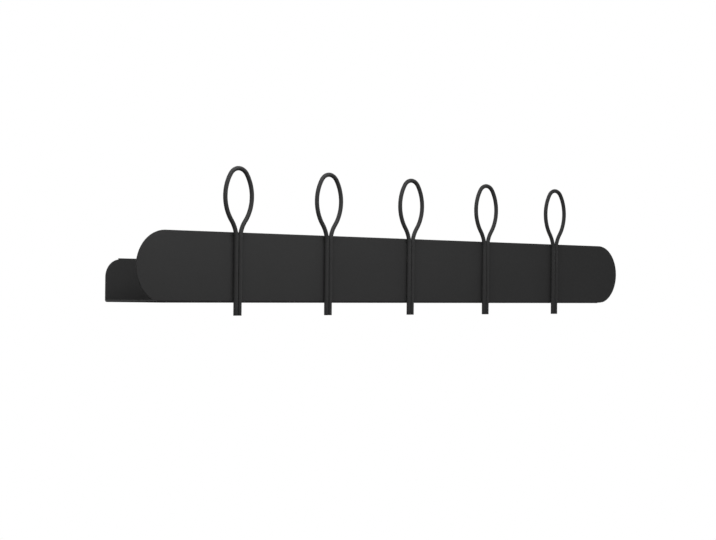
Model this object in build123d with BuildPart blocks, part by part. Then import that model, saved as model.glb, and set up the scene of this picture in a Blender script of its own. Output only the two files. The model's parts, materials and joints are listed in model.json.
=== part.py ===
"""Wall shelf with coat hooks: one folded steel sheet and five bent wire hooks.

Frame: X along the shelf, +Y into the wall, +Z up, in millimetres. The wall is the plane Y = 0,
and the origin is midway between the two keyholes in the back of the sheet.
"""

import os
from math import sqrt

from build123d import *

# Folded sheet
shelf_length = 900.0  # over the round ends of the front panel, and over the back
shelf_depth = 60.0  # front of the panel to the wall
panel_height = 85.0  # the panel's round ends have half of this as their radius
back_height = 51.5  # underside of the floor to the back's straight top edge
sheet = 1.5  # coated thickness
bend_radius = 1.5  # inside the two folds
back_corner_radius = 21.0  # upper corners of the back
back_step = 1.25  # straight top edge of the back above its round corners
back_step_inset = 18.5  # ends of the back to the ends of its straight top edge
edge_break = 0.3  # chamfer of the panel's cut edge

# Keyholes
keyhole_spacing = 600.0
keyhole_height = 24.0  # underside of the floor to the middle of the entry holes
keyhole_entry_diameter = 9.0  # lets a screw head of up to 8.5 through
keyhole_slot_width = 4.5  # holds a 4 mm screw
keyhole_rise = 8.0  # middle of the entry hole to the seat of the screw

# Wire hooks
hook_count = 5
hook_pitch = 150.0
wire_diameter = 5.5  # over the corners of the section
wire_sides = 12  # of the section, a multiple of four so that a corner meets the panel
leg_gap = 0.5  # daylight between the two legs
hook_drop = 15.5  # cut ends of the legs below the floor
hook_rise = 80.0  # top of the loop above the panel
loop_width = 47.5  # over the wire, at the loop's widest
loop_wide_rise = 43.5  # widest part of the loop above the panel
loop_side_radius = 48.0  # of the wire's centre line, at the widest part
loop_neck_radius = 36.0  # of the wire's centre line, where the legs part
wire_end_break = 0.4  # chamfer of the cut ends

# Places worked out from the sizes
bend_outer = bend_radius + sheet
front_y = -shelf_depth
base_z = -keyhole_height
panel_top_z = base_z + panel_height
back_top_z = base_z + back_height
back_flat_z = base_z + bend_outer  # lower end of the back's flat
corner_top_z = back_top_z - back_step
fold_length = shelf_length - panel_height  # straight run between the panel's round ends
top_edge_length = shelf_length - 2 * back_step_inset

# Upright sketch planes facing the room, with X along the shelf and Y up
panel_plane = Plane(origin=(0, front_y, 0), x_dir=(1, 0, 0), z_dir=(0, -1, 0))
wall_plane = Plane(origin=(0, 0, 0), x_dir=(1, 0, 0), z_dir=(0, -1, 0))
floor_plane = Plane.XY.offset(base_z)

os.makedirs("parts", exist_ok=True)


def bend_sheet(start, heading, length):
    """Bend the sheet by a quarter turn to the left, seen along the shelf.

    start and heading give the outer face where the bend begins, and length is how far the bend runs
    along the shelf.
    """
    with BuildSketch(Plane.YZ) as section:
        with BuildLine():
            JernArc(start, heading, bend_outer, 90)
            offset(amount=sheet, side=Side.LEFT)
        make_face()
    extrude(section.sketch, amount=length / 2, both=True)


# Folded sheet: panel, floor and back are one blank, bent along two lines
with BuildPart() as folded_shelf:
    # Panel with fully round ends and a softened cut edge
    with BuildSketch(panel_plane):
        with Locations((0, base_z + panel_height / 2)):
            SlotOverall(shelf_length, panel_height)
    extrude(amount=-sheet)
    chamfer(folded_shelf.faces().filter_by(Axis.Y).edges(), length=edge_break)

    # The panel's lower edge turns into the floor between the round ends
    with BuildSketch(panel_plane):
        with Locations((0, base_z)):
            Rectangle(fold_length, bend_outer, align=(Align.CENTER, Align.MIN))
    extrude(amount=-sheet, mode=Mode.SUBTRACT)
    bend_sheet((front_y, base_z + bend_outer), (0, -1), fold_length)

    # Floor, whose ends run slantwise from the panel's round ends to the back's corners
    with BuildSketch(floor_plane):
        with BuildLine():
            Polyline(
                (-fold_length / 2, front_y + bend_outer),
                (fold_length / 2, front_y + bend_outer),
                (shelf_length / 2, -bend_outer),
                (-shelf_length / 2, -bend_outer),
                close=True,
            )
        make_face()
    extrude(amount=sheet)
    bend_sheet((-bend_outer, base_z), (1, 0), shelf_length)

    # Back with rounded upper corners, between which its top edge stands a little higher
    with BuildSketch(wall_plane):
        with Locations((0, back_flat_z)):
            back = Rectangle(shelf_length, corner_top_z - back_flat_z, align=(Align.CENTER, Align.MIN))
        fillet(back.vertices().group_by(Axis.Y)[-1], radius=back_corner_radius)
        with Locations((0, back_flat_z)):
            Rectangle(top_edge_length, back_top_z - back_flat_z, align=(Align.CENTER, Align.MIN))
    extrude(amount=sheet)

    # Keyholes for two wall screws
    with BuildSketch(wall_plane):
        with GridLocations(keyhole_spacing, 0, 2, 1):
            Circle(keyhole_entry_diameter / 2)
            with Locations((0, keyhole_rise / 2)):
                SlotCenterToCenter(keyhole_rise, keyhole_slot_width, rotation=90)
    extrude(amount=sheet, mode=Mode.SUBTRACT)

folded_shelf.part.label = "folded_shelf"
export_step(folded_shelf.part, "parts/folded_shelf.step")


def point_towards(start, end, distance):
    """Return the point that lies the given distance from start on the line to end."""
    step = (Vector(*end) - Vector(*start)).normalized() * distance
    return (start[0] + step.X, start[1] + step.Y)


# A hook's centre line: straight leg, neck arc, side arc and half the top arc, all tangent, and its mirror
wire_radius = wire_diameter / 2
hook_y = front_y - wire_radius  # the wire lies against the panel's face
leg_x = (wire_diameter + leg_gap) / 2
leg_end_z = base_z - hook_drop
wide_x = loop_width / 2 - wire_radius
wide_z = panel_top_z + loop_wide_rise
loop_top_z = panel_top_z + hook_rise - wire_radius

# The side arc is upright at the loop's widest point
side_centre = (wide_x - loop_side_radius, wide_z)

# The top arc runs through the loop's top and touches the side arc from inside
loop_head = loop_top_z - wide_z
centre_shift = wide_x**2 - 2 * wide_x * loop_side_radius
top_radius = (loop_head**2 + centre_shift) / (2 * (loop_head - loop_side_radius))
top_centre = (0, loop_top_z - top_radius)
top_joint = point_towards(side_centre, top_centre, loop_side_radius)

# The neck arc touches the leg, and the side arc from outside
neck_x = leg_x + loop_neck_radius
neck_z = wide_z - sqrt((loop_side_radius + loop_neck_radius) ** 2 - (neck_x - side_centre[0]) ** 2)
neck_joint = point_towards(side_centre, (neck_x, neck_z), loop_side_radius)

hook_plane = Plane(origin=(0, hook_y, 0), x_dir=(1, 0, 0), z_dir=(0, -1, 0))

with BuildPart() as wire_hook:
    with BuildLine(hook_plane) as centre_line:
        leg = Line((leg_x, leg_end_z), (leg_x, neck_z))
        neck = TangentArc(leg @ 1, neck_joint, tangent=leg % 1)
        side = TangentArc(neck @ 1, top_joint, tangent=neck % 1)
        TangentArc(side @ 1, (0, loop_top_z), tangent=side % 1)
        mirror(about=Plane.YZ)
    with BuildSketch(Plane(origin=leg @ 0, x_dir=(1, 0, 0), z_dir=leg % 0)):
        RegularPolygon(wire_radius, wire_sides)
    sweep(path=centre_line.wire())
    chamfer(wire_hook.faces().filter_by(Axis.Z).edges(), length=wire_end_break)

for number in range(1, hook_count + 1):
    with BuildPart() as hook:
        with Locations(((number - (hook_count + 1) / 2) * hook_pitch, 0, 0)):
            add(wire_hook.part)
    hook.part.label = f"hook_{number}"
    export_step(hook.part, f"parts/hook_{number}.step")
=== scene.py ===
"""Looks of a wall shelf with coat hooks: a folded sheet and bent wires in matt black powder coat.

Lengths are metres in the part's own frame: X along the shelf, +Y into the wall, +Z up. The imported
part gives the overall sizes and places, and the classes below add the sizes that it doesn't state.
"""

import json
import logging
from dataclasses import dataclass
from enum import Enum, IntEnum
from functools import cached_property
from math import acos, asin, atan2, pi, radians, sqrt
from typing import Any

import bmesh
import bpy
import numpy as np
from mathutils import Euler, Matrix, Vector
from numpy.typing import NDArray


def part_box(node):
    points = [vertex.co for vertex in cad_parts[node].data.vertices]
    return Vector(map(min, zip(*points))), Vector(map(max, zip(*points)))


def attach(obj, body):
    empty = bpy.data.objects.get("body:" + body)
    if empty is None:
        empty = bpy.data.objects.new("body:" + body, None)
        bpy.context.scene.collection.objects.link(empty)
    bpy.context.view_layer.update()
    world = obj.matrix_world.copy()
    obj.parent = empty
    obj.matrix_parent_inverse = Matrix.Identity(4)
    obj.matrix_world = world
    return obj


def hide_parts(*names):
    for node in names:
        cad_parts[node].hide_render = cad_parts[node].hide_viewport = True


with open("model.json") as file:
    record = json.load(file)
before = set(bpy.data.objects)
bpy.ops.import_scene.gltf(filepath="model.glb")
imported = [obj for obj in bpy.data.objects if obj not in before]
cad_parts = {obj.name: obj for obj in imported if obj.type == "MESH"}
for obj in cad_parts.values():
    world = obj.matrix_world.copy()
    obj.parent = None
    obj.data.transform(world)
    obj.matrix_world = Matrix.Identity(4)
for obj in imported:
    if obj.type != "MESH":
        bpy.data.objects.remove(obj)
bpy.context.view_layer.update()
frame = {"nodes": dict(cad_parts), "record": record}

LOG = logging.getLogger("wall_shelf")

Floats = NDArray[np.float64]
Ints = NDArray[np.int64]
Colour = tuple[float, float, float, float]

MM = 0.001
QUARTER = pi / 2  # a right angle
WELD = 1e-6  # points that lie closer together than this become one
SAME_DIGITS = 9  # decimals to which rows or columns that fall together agree
NOISE_MEAN = 0.5
BUMP_UNIT = 1.0  # a bump's height then counts in metres
INWARDS = -1.0  # side of a face to which its thickness goes
WHITE: Colour = (1.0, 1.0, 1.0, 1.0)


# Shader maths


class MathStep(Enum):
    """The sums that a finish needs."""

    ADD = "ADD"
    SUBTRACT = "SUBTRACT"
    MULTIPLY = "MULTIPLY"


class RayKind(Enum):
    """Rays that see the white background in place of the ambient light."""

    CAMERA = "Is Camera Ray"
    GLOSSY = "Is Glossy Ray"
    TRANSMISSION = "Is Transmission Ray"


class NodeGraph:
    """A node tree that is filled one node at a time."""

    def __init__(self, tree: bpy.types.NodeTree) -> None:
        """Empty the tree and keep it."""
        self.tree = tree
        self.tree.nodes.clear()

    def node(
        self,
        kind: str,
        settings: dict[str, Any] | None = None,
        sockets: dict[str, Any] | None = None,
    ) -> bpy.types.Node:
        """Add a node.

        Args:
            kind: The node's type.
            settings: Values of the node's own properties, set first.
            sockets: Values or links of its inputs, by socket identifier.

        Returns:
            The new node.
        """
        node = self.tree.nodes.new(kind)
        for key, value in (settings or {}).items():
            setattr(node, key, value)
        inputs = {socket.identifier: socket for socket in node.inputs}
        for key, value in (sockets or {}).items():
            source = value.socket if isinstance(value, Value) else value
            if isinstance(source, bpy.types.NodeSocket):
                self.tree.links.new(source, inputs[key])
            else:
                inputs[key].default_value = source
        return node

    @staticmethod
    def output(node: bpy.types.Node, identifier: str) -> bpy.types.NodeSocket:
        """Return one of a node's outputs by its identifier."""
        return next(socket for socket in node.outputs if socket.identifier == identifier)

    def value(self, node: bpy.types.Node, identifier: str) -> "Value":
        """Return one of a node's outputs as a number for expressions."""
        return Value(self, self.output(node, identifier))

    def shown(self) -> "Value":
        """Tell the rays that show the white background from those that carry light.

        Returns:
            The sum of the ray kinds, which is 1 for a ray that shows the background and 0 for others.
        """
        rays = self.node("ShaderNodeLightPath")
        camera, glossy, transmission = (self.value(rays, kind.value) for kind in RayKind)
        return camera + glossy + transmission


@dataclass(frozen=True)
class Value:
    """A number that changes over a surface, for use in expressions.

    Attributes:
        graph: The node tree that takes the sums.
        socket: The output that carries the number.
    """

    graph: NodeGraph
    socket: bpy.types.NodeSocket

    def step(self, kind: MathStep, left: "Value | float", right: "Value | float") -> "Value":
        """Add one sum to the tree.

        Args:
            kind: The sum.
            left: Its first number.
            right: Its second number.

        Returns:
            The result.
        """
        sockets = {"Value": left, "Value_001": right}
        node = self.graph.node("ShaderNodeMath", {"operation": kind.value}, sockets)
        return self.graph.value(node, "Value")

    def __add__(self, other: "Value | float") -> "Value":
        """Return self + other."""
        return self.step(MathStep.ADD, self, other)

    def __radd__(self, other: float) -> "Value":
        """Return other + self."""
        return self.step(MathStep.ADD, other, self)

    def __sub__(self, other: "Value | float") -> "Value":
        """Return self - other."""
        return self.step(MathStep.SUBTRACT, self, other)

    def __rsub__(self, other: float) -> "Value":
        """Return other - self."""
        return self.step(MathStep.SUBTRACT, other, self)

    def __mul__(self, other: "Value | float") -> "Value":
        """Return self * other."""
        return self.step(MathStep.MULTIPLY, self, other)

    def __rmul__(self, other: float) -> "Value":
        """Return other * self."""
        return self.step(MathStep.MULTIPLY, other, self)


# Finishes


def new_material(name: str) -> tuple[bpy.types.Material, NodeGraph]:
    """Make an empty material.

    Args:
        name: The material's name.

    Returns:
        The material, and its node tree to fill.
    """
    material = bpy.data.materials.new(name)
    material.use_nodes = True
    return material, NodeGraph(material.node_tree)


@dataclass(frozen=True)
class PowderCoat:
    """Matt black powder coat: fine grain, wider orange peel, and a faint cloudiness of tone.

    Attributes:
        name: The material's name.
        dark: Colour where the tone is lowest.
        light: Colour where it is highest.
        roughness: Mean roughness.
        roughness_spread: How far the orange peel moves the roughness, from lowest to highest.
        specular: The coat's specular level.
        grain_size: Width of the grain.
        grain_relief: Height of the grain.
        grain_detail: How many finer layers the grain has.
        grain_share: The grain's share in the tone, where the clouds have the rest.
        peel_size: Width of the orange peel's dimples.
        peel_relief: Depth of the dimples.
        peel_detail: How many finer layers the dimples have.
        cloud_size: Width of the clouds of tone.
        cloud_detail: How many finer layers the clouds have.
    """

    name: str
    dark: Colour = (0.022, 0.022, 0.0221, 1.0)
    light: Colour = (0.034, 0.034, 0.0342, 1.0)
    roughness: float = 0.65
    roughness_spread: float = 0.16
    specular: float = 0.08
    grain_size: float = 0.8 * MM
    grain_relief: float = 0.02 * MM
    grain_detail: float = 2.0
    grain_share: float = 0.5
    peel_size: float = 4.0 * MM
    peel_relief: float = 0.05 * MM
    peel_detail: float = 1.0
    cloud_size: float = 90.0 * MM
    cloud_detail: float = 3.0

    def material(self) -> bpy.types.Material:
        """Make the coat's material on the piece's own coordinates.

        Relief is grain * grain_relief + peel * peel_relief. Tone is a mean of clouds and grain,
        and roughness follows the orange peel.

        Returns:
            The new material.
        """
        material, graph = new_material(self.name)
        place = graph.node("ShaderNodeTexCoord").outputs["Object"]

        def noise(size: float, detail: float) -> Value:
            """Return noise of the given width, from about 0 to 1."""
            sockets = {"Vector": place, "Scale": 1 / size, "Detail": detail}
            return graph.value(graph.node("ShaderNodeTexNoise", sockets=sockets), "Fac")

        grain = noise(self.grain_size, self.grain_detail)
        peel = noise(self.peel_size, self.peel_detail)
        clouds = noise(self.cloud_size, self.cloud_detail)
        relief = grain * self.grain_relief + peel * self.peel_relief
        bump = graph.node("ShaderNodeBump", sockets={"Height": relief, "Distance": BUMP_UNIT})
        tone = clouds * (1 - self.grain_share) + grain * self.grain_share
        colour = graph.node(
            "ShaderNodeMix",
            {"data_type": "RGBA"},
            {"Factor_Float": tone, "A_Color": self.dark, "B_Color": self.light},
        )
        shader = graph.node(
            "ShaderNodeBsdfPrincipled",
            sockets={
                "Base Color": graph.output(colour, "Result_Color"),
                "Roughness": self.roughness + (peel - NOISE_MEAN) * self.roughness_spread,
                "Specular IOR Level": self.specular,
                "Normal": bump.outputs["Normal"],
            },
        )
        graph.node("ShaderNodeOutputMaterial", sockets={"Surface": shader.outputs["BSDF"]})
        return material


@dataclass(frozen=True)
class PaleFloor:
    """Pale matt floor that looks white and still shows a shadow.

    Attributes:
        name: The material's name.
        colour: Colour of the floor.
        lift: Light that it adds for the rays that show it, and that falls on nothing.
    """

    name: str = "pale_floor"
    colour: Colour = (0.7, 0.7, 0.7, 1.0)
    lift: float = 0.56

    def material(self) -> bpy.types.Material:
        """Make the floor's material.

        Returns:
            The new material.
        """
        material, graph = new_material(self.name)
        matt = graph.node("ShaderNodeBsdfDiffuse", sockets={"Color": self.colour})
        glow = graph.node("ShaderNodeEmission", sockets={"Strength": graph.shown() * self.lift})
        both = graph.node(
            "ShaderNodeAddShader",
            sockets={"Shader": matt.outputs["BSDF"], "Shader_001": glow.outputs["Emission"]},
        )
        graph.node("ShaderNodeOutputMaterial", sockets={"Surface": both.outputs["Shader"]})
        return material


# Surfaces


def grid_quads(rows: int, columns: int, closed: bool = False) -> Ints:
    """Number the quads of a grid whose points are kept row by row.

    Args:
        rows: Number of rows.
        columns: Number of columns.
        closed: True where the last column joins the first.

    Returns:
        Four point numbers for each quad: a point, the one in the next row, the one beyond that in
        the next column, and the one beside the first.
    """
    index = np.arange(rows * columns).reshape(rows, columns)
    if closed:
        index = np.concatenate([index, index[:, :1]], axis=1)
    corners = [index[:-1, :-1], index[1:, :-1], index[1:, 1:], index[:-1, 1:]]
    return np.stack(corners, axis=-1).reshape(-1, 4)


def add_piece(name: str, points: Floats, quads: Ints, material: bpy.types.Material) -> bpy.types.Object:
    """Put a surface into the scene as a smooth mesh with its seams and poles welded.

    Args:
        name: The piece's name.
        points: Rows of x, y and z.
        quads: Rows of four point numbers.
        material: The piece's finish.

    Returns:
        The new object, at the origin.
    """
    mesh = bpy.data.meshes.new(name)
    mesh.from_pydata(points, [], quads)
    welded = bmesh.new()
    welded.from_mesh(mesh)
    bmesh.ops.remove_doubles(welded, verts=welded.verts, dist=WELD)
    bmesh.ops.dissolve_degenerate(welded, edges=welded.edges, dist=WELD)
    welded.to_mesh(mesh)
    welded.free()
    mesh.shade_smooth()
    mesh.materials.append(material)
    piece = bpy.data.objects.new(name, mesh)
    bpy.context.scene.collection.objects.link(piece)
    return piece


@dataclass(frozen=True)
class BentLine:
    """A flat line of straight stretches and arcs, each tangent to the one before.

    Attributes:
        start: Where the line begins, as two coordinates.
        heading: Its direction there, as an angle from the first axis.
        lengths: Length of each stretch.
        turns: Angle that the line turns through over each stretch, 0 where it is straight.
    """

    start: tuple[float, float]
    heading: float
    lengths: tuple[float, ...]
    turns: tuple[float, ...]

    @property
    def marks(self) -> Floats:
        """Return the run at the start of each stretch, and the whole length last."""
        return np.concatenate([[0.0], np.cumsum(self.lengths)])

    @staticmethod
    def chord(length: Floats, turn: Floats, heading: Floats) -> Floats:
        """Return the straight step across an arc.

        The step is length * sin(turn / 2) / (turn / 2) long, and it heads the way that the arc does
        halfway along. With no turn it is the length itself.

        Args:
            length: Lengths of the arcs.
            turn: Angles that they turn through.
            heading: Directions in which they set out.

        Returns:
            Rows of two coordinates.
        """
        span = length * np.sinc(turn / (2 * pi))
        middle = heading + turn / 2
        return np.stack([span * np.cos(middle), span * np.sin(middle)], axis=-1)

    def follow(self, run: Floats) -> tuple[Floats, Floats]:
        """Find places along the line.

        A place is the start of its stretch plus the chord from there, and the start of a stretch is
        the sum of the chords before it.

        Args:
            run: Distances along the line.

        Returns:
            Rows of two coordinates, and the direction at each.
        """
        lengths = np.asarray(self.lengths)
        turns = np.asarray(self.turns)
        headings = self.heading + np.concatenate([[0.0], np.cumsum(turns)[:-1]])
        steps = self.chord(lengths, turns, headings)
        starts = np.asarray(self.start) + np.concatenate([np.zeros((1, 2)), np.cumsum(steps, axis=0)[:-1]])
        stretch = np.clip(np.searchsorted(self.marks, run, side="right") - 1, 0, len(lengths) - 1)
        along = run - self.marks[stretch]
        turned = turns[stretch] * along / lengths[stretch]
        places = starts[stretch] + self.chord(along, turned, headings[stretch])
        return places, headings[stretch] + turned

    def stations(self, turn_step: float, length_step: float) -> Floats:
        """Spread runs along the line, at most a turn step and a length step apart.

        Args:
            turn_step: Largest turn from one station to the next.
            length_step: Largest distance from one to the next.

        Returns:
            The runs, with both ends and every change of bend among them.
        """
        counts = np.ceil(np.maximum(np.abs(self.turns) / turn_step, np.array(self.lengths) / length_step))
        marks = self.marks
        spans = [np.linspace(*ends, int(n), endpoint=False) for *ends, n in zip(marks, marks[1:], counts)]
        return np.concatenate([*spans, marks[-1:]])


@dataclass(frozen=True)
class Patch:
    """A piece of the sheet's outer face, on the flat blank.

    Attributes:
        places: Rows of x and run, where the run goes down the panel and on round the folds.
        quads: Rows of four place numbers, which turn anticlockwise as seen from outside.
    """

    places: Floats
    quads: Ints

    @classmethod
    def grid(cls, x: Floats, run: Floats, closed: bool = False) -> "Patch":
        """Make a patch on a grid.

        Args:
            x: Places along the shelf, which spread over the grid.
            run: Runs along the profile, which spread over the same grid.
            closed: True where the last column joins the first.

        Returns:
            The patch.
        """
        x, run = np.broadcast_arrays(x, run)
        return cls(np.stack([x.ravel(), run.ravel()], axis=-1), grid_quads(*x.shape, closed))

    def mirrored(self) -> "Patch":
        """Return the patch at the other end of the sheet."""
        return Patch(self.places * (-1.0, 1.0), self.quads[:, ::-1])

    def without(self, x: float, run: float, half: float) -> "Patch":
        """Leave out the quads in a square of the given half width about a place."""
        away = np.abs(self.places[self.quads].mean(axis=1) - (x, run)).max(axis=1)
        return Patch(self.places, self.quads[away > half])

    @staticmethod
    def joined(patches: "list[Patch]") -> "Patch":
        """Put patches together, with their places one after another.

        Args:
            patches: The patches.

        Returns:
            All of them as one, not yet welded.
        """
        firsts = np.cumsum([0] + [len(patch.places) for patch in patches[:-1]])
        quads = [patch.quads + first for patch, first in zip(patches, firsts)]
        return Patch(np.concatenate([patch.places for patch in patches]), np.concatenate(quads))


# Sub-assemblies


class Stretch(IntEnum):
    """Stretches of the sheet's profile, in order from the panel's top edge."""

    PANEL = 0
    FRONT_FOLD = 1
    FLOOR = 2
    BACK_FOLD = 3
    BACK = 4
    STEP = 5


@dataclass(frozen=True)
class FaceGrid:
    """How many points the sheet's outer face has, with both ends of each stretch counted.

    Attributes:
        disc_rings: Rings of the panel's round ends, out to where the fold begins.
        rim_rings: Rings from there to the rim.
        end_spokes: Spokes of the panel's round ends.
        fold_rows: Rows from the rim's lowest point to the floor.
        floor_rows: Rows across the floor.
        back_fold_rows: Rows round the fold at the back.
        foot_rows: Rows up the back to the keyholes' squares.
        head_rows: Rows from those squares to the top of the round corners.
        step_rows: Rows up the step in the back's top edge.
        columns: Columns along the straight middle.
        keyhole_columns: Columns across a keyhole's square.
        keyhole_rings: Rings from a keyhole's outline to its square.
        end_columns: Columns from the straight middle to the back's round corners.
        corner_spokes: Spokes of a round corner, beside the upright one.
    """

    disc_rings: int = 8
    rim_rings: int = 9
    end_spokes: int = 49
    fold_rows: int = 4
    floor_rows: int = 7
    back_fold_rows: int = 9
    foot_rows: int = 4
    head_rows: int = 5
    step_rows: int = 3
    columns: int = 29
    keyhole_columns: int = 19
    keyhole_rings: int = 5
    end_columns: int = 4
    corner_spokes: int = 16


@dataclass(frozen=True)
class FoldedSheet:
    """The shelf: one blank with a round-ended panel, a floor and a back, folded twice.

    Attributes:
        length: Length over the panel's round ends, and over the back.
        depth: Front of the panel to the wall.
        base_z: Height of the floor's underside.
        panel_top_z: Height of the panel's top edge.
        keyhole_spacing: Distance between the keyholes' entries, whose middles are at Z = 0.
        entry_radius: Radius of a keyhole's entry.
        back_height: Underside of the floor to the back's straight top edge.
        thickness: Thickness of the coated sheet.
        bend_radius: Radius inside the folds.
        corner_radius: Radius of the back's upper corners.
        step: Height of the straight top edge above the round corners.
        step_inset: Distance from an end of the back to the end of its straight top edge.
        slot_radius: Half the width of a keyhole's slot.
        slot_rise: Middle of the entry to the middle of the slot's round end.
        keyhole_margin: Half the width of the square of sheet that holds a keyhole.
        keyhole_clear: Distance along the shelf that other columns keep from a keyhole's middle.
        middle_share: Height that a keyhole's outline is measured from, as a share of entry_radius.
        edge_rounding: Rounding of every cut edge.
        rounding_steps: Flats across that rounding.
        rounding_angle: Smallest angle between two faces whose edge is rounded.
        grid: How finely the outer face is divided.
    """

    length: float
    depth: float
    base_z: float
    panel_top_z: float
    keyhole_spacing: float
    entry_radius: float
    back_height: float = 51.5 * MM
    thickness: float = 1.5 * MM
    bend_radius: float = 1.5 * MM
    corner_radius: float = 21.0 * MM
    step: float = 1.25 * MM
    step_inset: float = 18.5 * MM
    slot_radius: float = 2.25 * MM
    slot_rise: float = 8.0 * MM
    keyhole_margin: float = 10.0 * MM
    keyhole_clear: float = 15.0 * MM
    middle_share: float = 2 / 3
    edge_rounding: float = 0.3 * MM
    rounding_steps: int = 3
    rounding_angle: float = radians(50)
    grid: FaceGrid = FaceGrid()

    @classmethod
    def from_frame(cls) -> "FoldedSheet":
        """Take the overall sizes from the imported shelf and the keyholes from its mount.

        Returns:
            The shelf.
        """
        low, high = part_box("folded_shelf")
        keyholes = next(m for m in frame["record"]["mounts"] if m["name"] == "wall_keyholes")["dims"]
        return cls(
            length=high.x - low.x,
            depth=high.y - low.y,
            base_z=low.z,
            panel_top_z=high.z,
            keyhole_spacing=keyholes["spacing_x_mm"] * MM,
            entry_radius=keyholes["hole_r_mm"] * MM,
        )

    @property
    def end_radius(self) -> float:
        """Return the radius of the panel's round ends."""
        return (self.panel_top_z - self.base_z) / 2

    @property
    def core(self) -> float:
        """Return half the straight length between the panel's round ends."""
        return self.length / 2 - self.end_radius

    @property
    def bend_outer(self) -> float:
        """Return the radius of the folds on the outer face."""
        return self.bend_radius + self.thickness

    @property
    def profile(self) -> BentLine:
        """Draw the outer face's line across the shelf, in Y and Z.

        Returns:
            The line from the panel's top to the back's, with the stretches that Stretch names.
        """
        bend = self.bend_outer
        lengths = {
            Stretch.PANEL: 2 * self.end_radius - bend,
            Stretch.FRONT_FOLD: bend * QUARTER,
            Stretch.FLOOR: self.depth - 2 * bend,
            Stretch.BACK_FOLD: bend * QUARTER,
            Stretch.BACK: self.back_height - bend - self.step,
            Stretch.STEP: self.step,
        }
        turns = {Stretch.FRONT_FOLD: QUARTER, Stretch.BACK_FOLD: QUARTER}
        return BentLine(
            start=(-self.depth, self.panel_top_z),
            heading=-QUARTER,
            lengths=tuple(lengths[stretch] for stretch in Stretch),
            turns=tuple(turns.get(stretch, 0.0) for stretch in Stretch),
        )

    def run_at(self, stretch: Stretch) -> float:
        """Return the run along the profile where a stretch begins."""
        return self.profile.marks[stretch]

    @property
    def top_run(self) -> float:
        """Return the run along the profile at the back's straight top edge."""
        return self.profile.marks[-1]

    @property
    def keyhole_middle(self) -> float:
        """Return a height inside both a keyhole's entry and its slot."""
        return self.entry_radius * self.middle_share

    @property
    def keyhole_run(self) -> float:
        """Return the run along the profile at the keyholes' middles."""
        back_foot = self.base_z + self.bend_outer
        return self.run_at(Stretch.BACK) + self.keyhole_middle - back_foot

    @property
    def keyhole_fan(self) -> Floats:
        """Return the columns across a keyhole's square, spread evenly as seen from its middle."""
        return self.keyhole_margin * np.tan(np.linspace(-pi / 4, pi / 4, self.grid.keyhole_columns))

    def keyhole_reach(self, angle: Floats) -> Floats:
        """Measure a keyhole's outline from its middle.

        The middle is inside both the round entry and the slot above it, so the outline lies at the
        greater of the distances to the circle and to the slot. The slot is met at its side, or past
        its end's height at the round end, and counts only upwards.

        Args:
            angle: Directions, from the X axis.

        Returns:
            The distance in each direction.
        """
        across = np.abs(np.cos(angle))
        up = np.sin(angle)
        below = self.keyhole_middle
        above = self.slot_rise - below
        circle = np.sqrt(self.entry_radius**2 - (below * across) ** 2) - below * up
        side = self.slot_radius / np.maximum(across, WELD)
        end = above * up + np.sqrt(np.maximum(self.slot_radius**2 - (above * across) ** 2, 0.0))
        slot = np.where(side * up > above, end, side)
        return np.maximum(circle, np.where(up > 0, slot, 0.0))

    def keyhole_patch(self) -> Patch:
        """Fill the square round a keyhole at x = 0, with the keyhole left open.

        Rings run from the outline to the square's edge, along straight lines from the middle. The
        edge has the face's own rows and columns.

        Returns:
            The patch.
        """
        rim = self.keyhole_margin
        fan = self.keyhole_fan
        rows = self.rows_between(self.keyhole_run - rim, self.keyhole_run + rim) - self.keyhole_run
        upright = np.full(len(rows) - 1, rim)
        level = np.full(len(fan) - 1, rim)
        edge_x = np.concatenate([upright, fan[:0:-1], -upright, fan[:-1]])[::-1]
        edge_run = np.concatenate([rows[:-1], level, rows[:0:-1], -level])[::-1]
        angle = np.arctan2(edge_run, edge_x)
        ring = np.linspace(0.0, 1.0, self.grid.keyhole_rings)[:, None]
        grow = self.keyhole_reach(angle) * (1 - ring) + np.hypot(edge_x, edge_run) * ring
        return Patch.grid(grow * np.cos(angle), grow * np.sin(angle) + self.keyhole_run, closed=True)

    @property
    def panel_rings(self) -> Floats:
        """Space the rings of the panel's round ends, closer together over the height of the fold.

        Returns:
            The rings' radii, from the middle out.
        """
        fold = self.end_radius - self.bend_outer
        disc = np.linspace(0.0, fold, self.grid.disc_rings)
        return np.union1d(disc, np.linspace(fold, self.end_radius, self.grid.rim_rings))

    @property
    def corner_run(self) -> float:
        """Return the run along the profile at the middles of the back's round corners."""
        return self.run_at(Stretch.STEP) - self.corner_radius

    @property
    def corner_x(self) -> float:
        """Return the middle of the back's right corner, along the shelf."""
        return self.length / 2 - self.corner_radius

    @cached_property
    def rows(self) -> Floats:
        """Spread the face's rows along the profile.

        The panel's rows go on from the rings of its round ends, and the back has the keyholes'
        columns as rows too, so that their squares are even.

        Returns:
            The runs of the rows, in order.
        """
        grid = self.grid
        radius = self.end_radius
        square = self.keyhole_run + self.keyhole_fan
        floor = self.run_at(Stretch.FLOOR)
        back_fold = self.run_at(Stretch.BACK_FOLD)
        back = self.run_at(Stretch.BACK)
        step = self.run_at(Stretch.STEP)
        return np.unique(np.concatenate([
            radius - self.panel_rings,
            radius + self.panel_rings,
            np.linspace(2 * radius, floor, grid.fold_rows),
            np.linspace(floor, back_fold, grid.floor_rows),
            np.linspace(back_fold, back, grid.back_fold_rows),
            np.linspace(back, square[0], grid.foot_rows),
            square,
            [self.corner_run],
            np.linspace(square[-1], step, grid.head_rows),
            np.linspace(step, self.top_run, grid.step_rows),
        ]).round(SAME_DIGITS))

    def rows_between(self, low: float, high: float) -> Floats:
        """Return the rows from one run to another, with both of them."""
        return self.rows[(self.rows >= low - WELD) & (self.rows <= high + WELD)]

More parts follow.
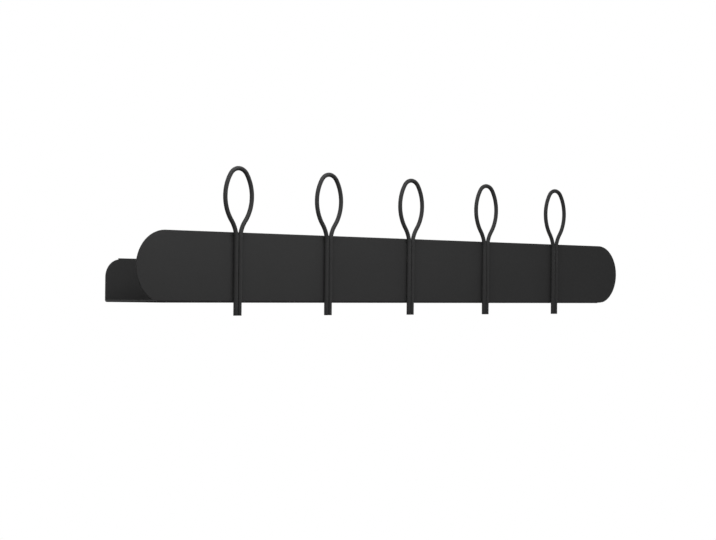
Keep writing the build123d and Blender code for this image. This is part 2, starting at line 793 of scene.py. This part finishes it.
    @property
    def corner_rings(self) -> Floats:
        """Return the radii of the rings of the back's round corners."""
        return self.rows_between(self.corner_run, self.run_at(Stretch.STEP)) - self.corner_run

    @property
    def corner_turns(self) -> Floats:
        """Return the angles of a corner's spokes: upright, then from the top edge's end to level."""
        step_turn = acos(1 - self.step_inset / self.corner_radius)
        return np.concatenate([[QUARTER], np.linspace(step_turn, 0.0, self.grid.corner_spokes)])

    @property
    def end_columns(self) -> Floats:
        """Return the columns from the straight middle to the back's right corner."""
        return np.linspace(self.core, self.corner_x, self.grid.end_columns)

    def middle_patches(self) -> list[Patch]:
        """Lay out the straight middle: a plain grid, with a square of its own for each keyhole.

        Returns:
            The squares, and then the grid without them.
        """
        fan = self.keyhole_fan
        keyhole_x = self.keyhole_spacing / 2
        plain = np.linspace(-self.core, self.core, self.grid.columns)
        plain = plain[np.abs(np.abs(plain) - keyhole_x) > self.keyhole_clear]
        columns = np.unique(np.concatenate([plain, fan - keyhole_x, fan + keyhole_x]).round(SAME_DIGITS))
        middle = Patch.grid(columns, self.rows[:, None])
        keyhole = self.keyhole_patch()
        patches = []
        for x in (-keyhole_x, keyhole_x):
            middle = middle.without(x, self.keyhole_run, self.keyhole_margin)
            patches.append(Patch(keyhole.places + (x, 0.0), keyhole.quads))
        return [*patches, middle]

    def panel_end(self) -> Patch:
        """Lay out the panel's right end: a half disc in polar form.

        Returns:
            The patch.
        """
        angle = np.linspace(pi, 0.0, self.grid.end_spokes)
        ring = self.panel_rings[:, None]
        return Patch.grid(self.core + ring * np.sin(angle), self.end_radius - ring * np.cos(angle))

    def floor_end(self) -> Patch:
        """Lay out the right end of the floor and of the back below its corner.

        Rows run from the straight middle to the blank's outline. Along the floor they grow from
        nothing to their full length, so that the outline slants.

        Returns:
            The patch.
        """
        floor = self.run_at(Stretch.FLOOR)
        rows = self.rows_between(floor, self.corner_run)[:, None]
        slant = np.clip((rows - floor) / (self.run_at(Stretch.BACK_FOLD) - floor), 0.0, 1.0)
        ends = np.concatenate([self.end_columns, self.corner_x + self.corner_rings[1:]]) - self.core
        return Patch.grid(self.core + ends * slant, rows)

    def back_end(self) -> Patch:
        """Return the back between the straight middle and its right corner, as a plain grid."""
        return Patch.grid(self.end_columns, self.rows_between(self.corner_run, self.top_run)[:, None])

    def back_corner(self) -> Patch:
        """Lay out the back's right corner: a quarter disc that carries the rows round into columns.

        Returns:
            The patch.
        """
        ring = self.corner_rings[:, None]
        turn = self.corner_turns
        return Patch.grid(self.corner_x + ring * np.cos(turn), self.corner_run + ring * np.sin(turn))

    def step_end(self) -> Patch:
        """Lay out the right end of the step, which stands on the first stretch of the corner's rim.

        Returns:
            The patch.
        """
        step = self.run_at(Stretch.STEP)
        rise = (self.rows_between(step, self.top_run) - step)[:, None] / self.step
        turn = self.corner_turns[:2]
        rim = self.corner_radius * np.sin(turn)
        height = rim + (self.corner_radius + self.step - rim) * rise
        return Patch.grid(self.corner_x + self.corner_radius * np.cos(turn), self.corner_run + height)

    def outer_face(self) -> Patch:
        """Lay out the outer face on the flat blank.

        The patches of the right end are mirrored to the left one.

        Returns:
            The whole face, with its patches not yet welded.
        """
        patches = self.middle_patches()
        ends = (self.panel_end, self.floor_end, self.back_end, self.back_corner, self.step_end)
        for end in ends:
            patch = end()
            patches += [patch, patch.mirrored()]
        return Patch.joined(patches)

    def build(self, material: bpy.types.Material) -> bpy.types.Object:
        """Fold the blank, give it its thickness inwards and round its cut edges.

        A place (x, run) on the blank goes to x, and to the profile's Y and Z at that run.

        Args:
            material: The sheet's finish.

        Returns:
            The finished piece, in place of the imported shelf.
        """
        face = self.outer_face()
        section, _ = self.profile.follow(face.places[:, 1])
        points = np.column_stack([face.places[:, 0], section])
        piece = add_piece("shelf_sheet", points, face.quads, material)

        wall = piece.modifiers.new("thickness", "SOLIDIFY")
        wall.thickness = self.thickness
        wall.offset = INWARDS
        wall.use_even_offset = True

        rounding = piece.modifiers.new("cut_edges", "BEVEL")
        rounding.width = self.edge_rounding
        rounding.segments = self.rounding_steps
        rounding.limit_method = "ANGLE"
        rounding.angle_limit = self.rounding_angle
        rounding.use_clamp_overlap = False

        piece.modifiers.new("flat_shading", "WEIGHTED_NORMAL")

        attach(piece, "root")
        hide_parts("folded_shelf")
        return piece


@dataclass(frozen=True)
class WireHook:
    """A coat hook: one wire bent into a teardrop loop, whose two legs lie on the panel.

    Attributes:
        node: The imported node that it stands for.
        centre_x: Middle of the hook along the shelf.
        line_y: Depth of the wire's centre line.
        foot_z: Height of the legs' cut ends.
        top_z: Height of the loop's top, over the wire.
        wide_z: Height of the loop's widest part.
        loop_width: Width of the loop over the wire.
        wire_radius: Radius of the wire.
        leg_gap: Daylight between the legs.
        side_radius: Radius of the centre line at the loop's widest part.
        neck_radius: Radius of the centre line where the legs part.
        end_rounding: Rounding of the cut ends.
        points_round: Points round the wire.
        end_rings: Rings over the rounding of a cut end.
        turn_step: Largest turn of the wire from one ring to the next.
        length_step: Largest distance from one ring to the next.
    """

    node: str
    centre_x: float
    line_y: float
    foot_z: float
    top_z: float
    wide_z: float
    loop_width: float
    wire_radius: float
    leg_gap: float = 0.5 * MM
    side_radius: float = 48.0 * MM
    neck_radius: float = 36.0 * MM
    end_rounding: float = 0.4 * MM
    points_round: int = 40
    end_rings: int = 5
    turn_step: float = radians(3.5)
    length_step: float = 12.0 * MM

    @classmethod
    def from_frame(cls, node: str, wide_rise: float = 43.5 * MM) -> "WireHook":
        """Take a hook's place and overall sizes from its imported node.

        Args:
            node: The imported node.
            wide_rise: Height of the loop's widest part above the panel.

        Returns:
            The hook.
        """
        low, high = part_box(node)
        panel_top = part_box("folded_shelf")[1].z
        return cls(
            node=node,
            centre_x=(low.x + high.x) / 2,
            line_y=(low.y + high.y) / 2,
            foot_z=low.z,
            top_z=high.z,
            wide_z=panel_top + wide_rise,
            loop_width=high.x - low.x,
            wire_radius=(high.y - low.y) / 2,
        )

    @property
    def centre_line(self) -> BentLine:
        """Draw the wire's centre line, in X and Z.

        The side arc is upright at the widest part. The neck arc touches the leg and the side arc, so
        the centres of the two arcs are the sum of their radii apart, and the top arc runs through
        the loop's top and touches the side arc from inside.

        Returns:
            The line from the right leg's end to the left one's.
        """
        leg_x = self.wire_radius + self.leg_gap / 2
        wide_x = self.loop_width / 2 - self.wire_radius
        side = self.side_radius
        neck = self.neck_radius
        centre_gap = leg_x + neck - (wide_x - side)
        neck_drop = sqrt((side + neck) ** 2 - centre_gap**2)
        neck_turn = asin(neck_drop / (side + neck))

        head = self.top_z - self.wire_radius - self.wide_z
        top = (head**2 + wide_x**2 - 2 * wide_x * side) / (2 * (head - side))
        joint = atan2(head - top, side - wide_x)
        side_turn = neck_turn + joint
        top_turn = 2 * (QUARTER - joint)
        leg = self.wide_z - neck_drop - self.foot_z

        half_lengths = (leg, neck * neck_turn, side * side_turn)
        half_turns = (0.0, -neck_turn, side_turn)
        return BentLine(
            start=(leg_x, self.foot_z),
            heading=QUARTER,
            lengths=(*half_lengths, top * top_turn, *half_lengths[::-1]),
            turns=(*half_turns, top_turn, *half_turns[::-1]),
        )

    def build(self, name: str, material: bpy.types.Material) -> bpy.types.Object:
        """Carry a circle along the centre line.

        A point is the line's place, plus the wire's radius times the cosine of an angle along the
        line's normal, plus the radius times the sine along Y. Within the rounding of a cut end the
        radius follows a quarter circle, and a last ring of no radius closes the end.

        Args:
            name: The piece's name.
            material: The wire's finish.

        Returns:
            The finished piece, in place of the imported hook.
        """
        line = self.centre_line
        whole = line.marks[-1]
        soft = self.end_rounding
        tips = soft * (1 - np.cos(np.linspace(0.0, QUARTER, self.end_rings)))
        inner = line.stations(self.turn_step, self.length_step)[1:-1]
        runs = np.concatenate([tips, inner, whole - tips[::-1]])
        inset = soft - np.minimum(np.minimum(runs, whole - runs), soft)
        radii = self.wire_radius - soft + np.sqrt(soft**2 - inset**2)
        runs = np.concatenate([[0.0], runs, [whole]])
        radii = np.concatenate([[0.0], radii, [0.0]])[:, None]

        places, headings = line.follow(runs)
        angle = np.linspace(0.0, 2 * pi, self.points_round, endpoint=False)
        out = radii * np.cos(angle)
        x = self.centre_x + places[:, :1] - out * np.sin(headings)[:, None]
        y = self.line_y + radii * np.sin(angle)
        z = places[:, 1:] + out * np.cos(headings)[:, None]
        points = np.stack([x, y, z], axis=-1).reshape(-1, 3)
        piece = add_piece(name, points, grid_quads(*x.shape, closed=True), material)
        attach(piece, "root")
        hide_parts(self.node)
        return piece


# Studio


@dataclass(frozen=True)
class SoftBox:
    """An oblong studio lamp.

    Attributes:
        name: The lamp's name.
        place: Where it stands.
        aim: Where it points.
        width: Length of its level sides.
        height: Length of its other sides.
        power: Its power in watts.
    """

    name: str
    place: tuple[float, float, float]
    aim: tuple[float, float, float]
    width: float
    height: float
    power: float

    def build(self) -> None:
        """Set up the lamp."""
        lamp = bpy.data.lights.new(self.name, "AREA")
        lamp.shape = "RECTANGLE"
        lamp.size = self.width
        lamp.size_y = self.height
        lamp.energy = self.power
        stand = bpy.data.objects.new(self.name, lamp)
        stand.location = self.place
        stand.rotation_euler = (Vector(self.aim) - Vector(self.place)).to_track_quat("-Z", "Y").to_euler()
        bpy.context.scene.collection.objects.link(stand)


@dataclass(frozen=True)
class PhotoCamera:
    """The camera of the photograph, which looks along the shelf a little upwards and isn't quite level.

    Attributes:
        place: Where it stands.
        yaw: Angle from +Y towards +X at which it looks.
        pitch: Angle above the level.
        roll: Angle that it is turned about its own axis, anticlockwise as seen from behind it.
        focal_px: Focal length in pixels of the photograph.
        width_px: Width of the photograph.
        sensor: Width of the sensor in millimetres.
    """

    place: tuple[float, float, float] = (-1.6570, -1.6558, -0.0025)
    yaw: float = radians(44.390)
    pitch: float = radians(0.537)
    roll: float = radians(0.6)
    focal_px: float = 1733.0
    width_px: float = 716.0
    sensor: float = 36.0

    def build(self) -> None:
        """Set up the camera."""
        lens = bpy.data.cameras.new("photo_camera")
        lens.sensor_fit = "HORIZONTAL"
        lens.sensor_width = self.sensor
        lens.lens = self.focal_px / self.width_px * self.sensor
        camera = bpy.data.objects.new("photo_camera", lens)
        camera.location = self.place
        level = Euler((QUARTER + self.pitch, 0.0, -self.yaw)).to_matrix()
        camera.rotation_euler = (level @ Matrix.Rotation(self.roll, 3, "Z")).to_euler()
        bpy.context.scene.collection.objects.link(camera)
        bpy.context.scene.camera = camera


@dataclass(frozen=True)
class Studio:
    """A white studio with soft lamps and a pale floor well below the shelf.

    Attributes:
        floor_z: Height of the floor.
        floor_half: Half the width of the floor.
        floor_points: Points along each side of the floor.
        ambient: Strength of the light from all round.
        lamps: The lamps.
    """

    floor_z: float = -1.2
    floor_half: float = 3.0
    floor_points: int = 3
    ambient: float = 0.3
    lamps: tuple[SoftBox, ...] = (
        SoftBox(
            name="long_strip",
            place=(-0.4, -0.34, 0.62),
            aim=(-0.35, -0.03, 0.0),
            width=1.0,
            height=0.3,
            power=8.8,
        ),
        SoftBox(
            name="right_fill",
            place=(1.6, -2.0, 0.6),
            aim=(0.0, 0.0, 0.0),
            width=1.2,
            height=1.2,
            power=3.9,
        ),
        SoftBox(
            name="back_fill",
            place=(0.4, 1.9, 0.6),
            aim=(0.0, 0.0, 0.0),
            width=1.4,
            height=1.0,
            power=16.0,
        ),
    )

    def build_floor(self) -> None:
        """Lay the floor, as a grid of x and y at one height."""
        side = np.linspace(-self.floor_half, self.floor_half, self.floor_points)
        x, y = np.meshgrid(side, side[::-1])
        points = np.stack([x, y, np.full_like(x, self.floor_z)], axis=-1).reshape(-1, 3)
        add_piece("studio_floor", points, grid_quads(*x.shape), PaleFloor().material())

    def build_world(self) -> None:
        """Light the scene evenly, with a white background for the rays that show it."""
        world = bpy.data.worlds.new("white_studio")
        bpy.context.scene.world = world
        world.use_nodes = True
        graph = NodeGraph(world.node_tree)
        strength = self.ambient + graph.shown() * (1 - self.ambient)
        light = graph.node("ShaderNodeBackground", sockets={"Color": WHITE, "Strength": strength})
        graph.node("ShaderNodeOutputWorld", sockets={"Surface": light.outputs["Background"]})

    def build(self) -> None:
        """Set up the floor, the background and the lamps."""
        bpy.context.scene.view_settings.view_transform = "Standard"
        self.build_floor()
        self.build_world()
        for lamp in self.lamps:
            lamp.build()


# The whole scene


def main() -> None:
    """Build the shelf, its hooks and the studio in order."""
    logging.basicConfig(level=logging.INFO, format="%(name)s: %(message)s")
    sheet_coat = PowderCoat("sheet_coat").material()
    wire_coat = PowderCoat("wire_coat", roughness=0.55).material()

    shelf = FoldedSheet.from_frame().build(sheet_coat)
    LOG.info("%s: %d faces before its thickness", shelf.name, len(shelf.data.polygons))

    hook_nodes = sorted(name for name in frame["nodes"] if name.startswith("hook_"))
    for number, node in enumerate(hook_nodes, start=1):
        hook = WireHook.from_frame(node).build(f"hook_wire_{number}", wire_coat)
        LOG.info("%s: %d faces", hook.name, len(hook.data.polygons))

    Studio().build()
    PhotoCamera().build()


if __name__ == "__main__":
    main()
